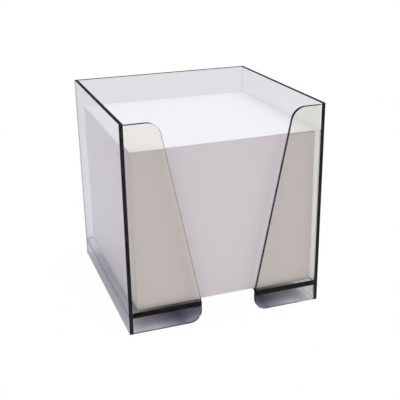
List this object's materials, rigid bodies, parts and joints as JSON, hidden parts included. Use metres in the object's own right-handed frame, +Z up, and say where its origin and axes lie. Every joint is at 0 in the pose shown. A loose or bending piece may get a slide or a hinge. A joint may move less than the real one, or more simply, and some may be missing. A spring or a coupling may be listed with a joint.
{
  "type": "memo holder",
  "caption": "Square open-topped box of smoked clear plastic with a V-shaped front opening and a raised floor, holding a stack of loose white note sheets for the desk.",
  "frame": {"origin": "centre of the square that the box stands on, at desk level", "axes": "+Z up, the front with the V-shaped opening faces -Y, +X is on the right of someone who faces the front"},
  "size_m": [0.098, 0.098, 0.102],
  "materials": {
    "smoked_acrylic": "polished",
    "note_paper": "matte"
  },
  "bodies": {
    "holder": {"left_side_panel": "smoked_acrylic", "right_side_panel": "smoked_acrylic", "back_panel": "smoked_acrylic", "front_left_leaf": "smoked_acrylic", "front_right_leaf": "smoked_acrylic", "floor_panel": "smoked_acrylic"},
    "paper_stack": {"paper_block": "note_paper"},
    "sheet_three": {"third_sheet": "note_paper"},
    "sheet_two": {"second_sheet": "note_paper"},
    "sheet_one": {"top_sheet": "note_paper"}
  },
  "joints": [
    {"name": "paper_block_lift", "type": "slide", "parent": "holder", "child": "paper_stack", "axis": [0, 0, 1], "range_m": [0, 0.1]},
    {"name": "third_sheet_lift", "type": "slide", "parent": "paper_stack", "child": "sheet_three", "axis": [0, 0, 1], "range_m": [0, 0.03]},
    {"name": "second_sheet_lift", "type": "slide", "parent": "sheet_three", "child": "sheet_two", "axis": [0, 0, 1], "range_m": [0, 0.03]},
    {"name": "top_sheet_lift", "type": "slide", "parent": "sheet_two", "child": "sheet_one", "axis": [0, 0, 1], "range_m": [0, 0.03]}
  ]
}
